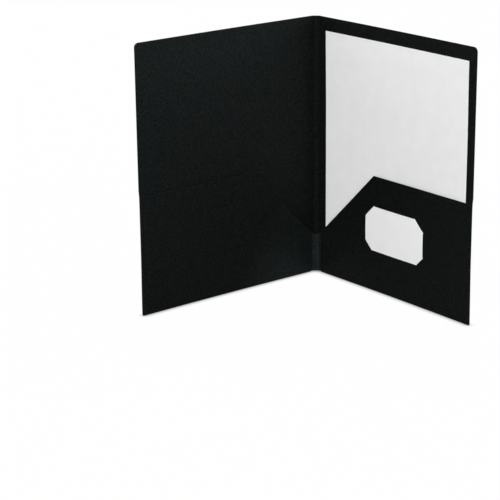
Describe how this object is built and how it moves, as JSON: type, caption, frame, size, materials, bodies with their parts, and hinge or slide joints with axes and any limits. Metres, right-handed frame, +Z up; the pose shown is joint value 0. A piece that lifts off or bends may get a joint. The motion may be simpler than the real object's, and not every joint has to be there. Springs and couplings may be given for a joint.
{
  "type": "two pocket folder",
  "caption": "Black plastic presentation folder that opens on a scored spine, with a framed clear window sleeve outside, a pocket inside each cover and corner slits that hold a card.",
  "frame": {"origin": "middle of the spine's lower edge, on the surface that the folder stands on", "axes": "+Z up along the spine, +Y out of the back of the spine, the folder opens towards -Y, the back cover is on the +X side"},
  "size_m": [0.3483, 0.1678, 0.295],
  "materials": {
    "black_plastic": "satin black plastic sheet with a fine sand grain",
    "clear_film": "clear glossy film",
    "white_paper": "plain white office paper",
    "white_card": "smooth white card stock"
  },
  "bodies": {
    "spine": {"spine_panel": "black_plastic", "front_crease": "black_plastic", "back_crease": "black_plastic", "pocket_bridge": "black_plastic"},
    "front_cover": {"front_panel": "black_plastic", "front_bottom_fold": "black_plastic", "front_pocket": "black_plastic", "front_pocket_weld": "black_plastic", "window_frame": "black_plastic", "window_film": "clear_film", "sleeve_weld": "black_plastic"},
    "back_cover": {"back_panel": "black_plastic", "back_bottom_fold": "black_plastic", "back_pocket": "black_plastic", "back_pocket_weld": "black_plastic", "business_card": "white_card"},
    "pocket_sheet": {"pocket_sheet": "white_paper"},
    "cover_insert": {"cover_insert": "white_paper"}
  },
  "joints": [
    {"name": "front_fold", "type": "hinge", "parent": "spine", "child": "front_cover", "pos_m": [-0.003, 0, 0], "axis": [0, 0, 1], "range_deg": [-44.2, 45.8], "deforming": ["front_crease", "pocket_bridge"]},
    {"name": "back_fold", "type": "hinge", "parent": "spine", "child": "back_cover", "pos_m": [0.003, 0, 0], "axis": [0, 0, -1], "range_deg": [-44.2, 45.8], "deforming": ["back_crease", "pocket_bridge"]},
    {"name": "pocket_sheet_slide", "type": "slide", "parent": "back_cover", "child": "pocket_sheet", "axis": [0, 0, 1], "range_m": [0, 0.135]},
    {"name": "cover_insert_slide", "type": "slide", "parent": "front_cover", "child": "cover_insert", "axis": [0, 0, 1], "range_m": [0, 0.29]}
  ]
}
